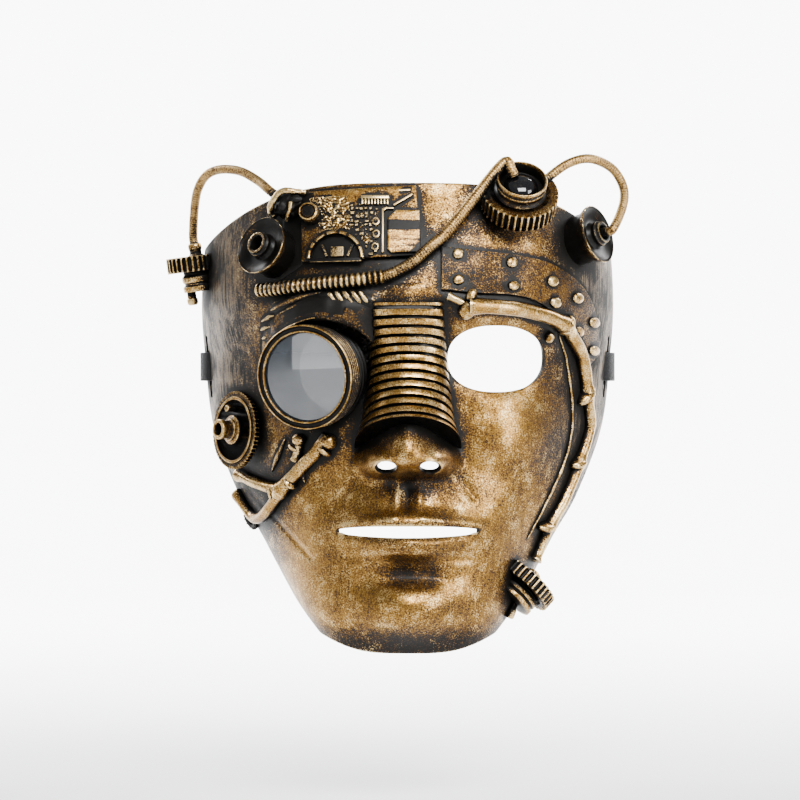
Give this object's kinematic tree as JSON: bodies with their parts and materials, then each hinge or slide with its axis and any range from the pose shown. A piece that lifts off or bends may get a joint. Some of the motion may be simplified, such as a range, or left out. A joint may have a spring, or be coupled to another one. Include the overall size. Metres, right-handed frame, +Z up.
{
  "type": "steampunk mask",
  "caption": "Full-face steampunk costume mask with a goggle, nose bellows, gears, hoses, pipes and an elastic strap, in antique gold on black.",
  "frame": {"origin": "inside of the nose bridge at eye height, where the mask sits on its wearer", "axes": "+Z up, the face looks toward -Y, +X at the viewer's right"},
  "size_m": [0.1933, 0.1874, 0.2039],
  "materials": {
    "antique_bronze": "black plastic dry-brushed with bronze, satin",
    "antique_gold": "black plastic dry-brushed with antique gold",
    "dark_bronze": "dark recessed plastic with a little bronze on its edges",
    "gloss_black": "glossy black",
    "clear_lens": "clear polished plastic",
    "woven_elastic": "woven black elastic"
  },
  "bodies": {
    "root": {"mask_shell": "antique_bronze", "circuit_panel": "antique_bronze", "rivet_plate": "antique_bronze", "goggle_hood": "antique_bronze", "flange_left": "antique_bronze", "flange_right": "antique_bronze", "hose_left": "antique_bronze", "hose_right": "antique_bronze", "hose_long": "antique_bronze", "nose_bellows": "antique_gold", "chip_plate": "antique_gold", "screw_boss": "antique_gold", "half_ring": "antique_gold", "pin_comb": "antique_gold", "rivet_1": "antique_gold", "rivet_2": "antique_gold", "rivet_3": "antique_gold", "rivet_4": "antique_gold", "rivet_5": "antique_gold", "rivet_6": "antique_gold", "rivet_7": "antique_gold", "rivet_8": "antique_gold", "rivet_9": "antique_gold", "rivet_10": "antique_gold", "goggle_bezel": "antique_gold", "cup_gear": "antique_gold", "lens_cup": "antique_gold", "temple_gear": "antique_gold", "temple_cap": "antique_gold", "temple_drum": "antique_gold", "jaw_gear": "antique_gold", "jaw_hub": "antique_gold", "chin_gear": "antique_gold", "chin_nut": "antique_gold", "chin_drum": "antique_gold", "chin_pin": "antique_gold", "brow_knuckle": "antique_gold", "corner_knuckle": "antique_gold", "temple_knuckle": "antique_gold", "cheek_knuckle": "antique_gold", "jaw_knuckle": "antique_gold", "cheek_elbow": "antique_gold", "brow_stub": "antique_gold", "brow_pipe": "antique_gold", "temple_pipe": "antique_gold", "cheek_pipe": "antique_gold", "jaw_pipe": "antique_gold", "chin_pipe": "antique_gold", "goggle_pipe": "antique_gold", "cheek_plug": "antique_gold", "jaw_strut": "antique_gold", "jaw_loop": "antique_gold", "hose_coil": "antique_gold", "goggle_barrel": "dark_bronze", "hose_knob": "dark_bronze", "jaw_post": "dark_bronze", "small_gear": "dark_bronze", "cup_dome": "gloss_black", "goggle_lens": "clear_lens", "head_strap": "woven_elastic"}
  },
  "joints": []
}
